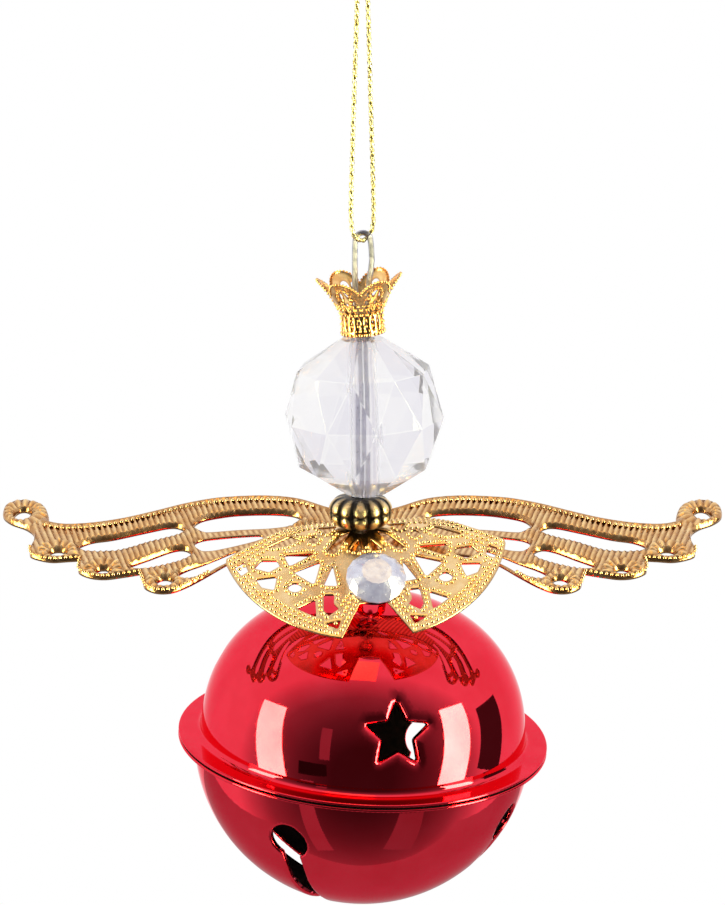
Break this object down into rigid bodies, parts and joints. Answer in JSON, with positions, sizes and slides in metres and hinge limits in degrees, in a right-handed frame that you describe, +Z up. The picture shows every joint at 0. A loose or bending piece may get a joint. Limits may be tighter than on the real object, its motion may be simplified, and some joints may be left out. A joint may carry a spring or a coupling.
{
  "type": "christmas bell ornament",
  "caption": "Angel-style jingle bell ornament: cord loop, crowned bead head, filigree collar with a stone, spread wings and a two-part round bell.",
  "frame": {"origin": "the hang point, at the middle of the cord's knot", "axes": "+X along the spread of the wings, +Y towards the angel's back, +Z up along the stem from the bell to the knot"},
  "size_m": [0.093, 0.0474, 0.1276],
  "materials": {
    "gold_thread": "metallic twisted thread",
    "steel_wire": "smooth drawn wire",
    "gold_plate": "bright gold plating",
    "antique_gold": "antiqued gold",
    "clear_acrylic": "clear faceted acrylic",
    "rhinestone": "foil-backed flat-back stone",
    "red_lacquer": "transparent red lacquer over bright metal"
  },
  "bodies": {
    "knot": {"cord_knot": "gold_thread"},
    "cord": {"cord_loop": "gold_thread"},
    "stem": {"hanger_wire": "steel_wire"},
    "crown": {"crown": "gold_plate"},
    "head": {"head_bead": "clear_acrylic"},
    "neck": {"neck_spacer": "antique_gold"},
    "collar": {"collar": "gold_plate", "gem": "rhinestone"},
    "wings": {"wing_plate": "gold_plate"},
    "link": {"jump_ring": "steel_wire"},
    "bell": {"bell_shank": "red_lacquer", "bell_upper_shell": "red_lacquer", "bell_lower_shell": "red_lacquer"},
    "ball": {"jingle_ball": "steel_wire"}
  },
  "joints": [
    {"name": "front_back_swing", "type": "hinge", "parent": "knot", "child": "cord", "pos_m": [0, 0, 0], "axis": [1, 0, 0], "range_deg": [-25, 25]},
    {"name": "side_swing", "type": "hinge", "parent": "cord", "child": "stem", "pos_m": [0, 0, -0.0371], "axis": [0, 1, 0], "range_deg": [-30, 30]},
    {"name": "crown_turn", "type": "hinge", "parent": "stem", "child": "crown", "pos_m": [0.0001, 0, -0.046], "axis": [0, 0, 1], "continuous": true},
    {"name": "head_turn", "type": "hinge", "parent": "stem", "child": "head", "pos_m": [0.0002, 0, -0.0593], "axis": [0, 0, 1], "continuous": true},
    {"name": "spacer_turn", "type": "hinge", "parent": "stem", "child": "neck", "pos_m": [-0.00025, 0, -0.0716], "axis": [0, 0, 1], "continuous": true},
    {"name": "wings_turn", "type": "hinge", "parent": "stem", "child": "wings", "pos_m": [0, 0, -0.0749], "axis": [0, 0, 1], "continuous": true},
    {"name": "collar_slip", "type": "hinge", "parent": "wings", "child": "collar", "pos_m": [0, 0, -0.07395], "axis": [0, 0, 1], "range_deg": [-3, 3]},
    {"name": "ring_swing", "type": "hinge", "parent": "stem", "child": "link", "pos_m": [0.00125, 0, -0.07825], "axis": [1, 0, 0], "range_deg": [-12, 12]},
    {"name": "bell_swing", "type": "hinge", "parent": "link", "child": "bell", "pos_m": [0.00125, 0, -0.08065], "axis": [0, 1, 0], "range_deg": [-15, 15]},
    {"name": "ball_roll", "type": "hinge", "parent": "bell", "child": "ball", "pos_m": [0.00003, 0, -0.10171], "axis": [0, 1, 0], "range_deg": [-35, 35]}
  ]
}
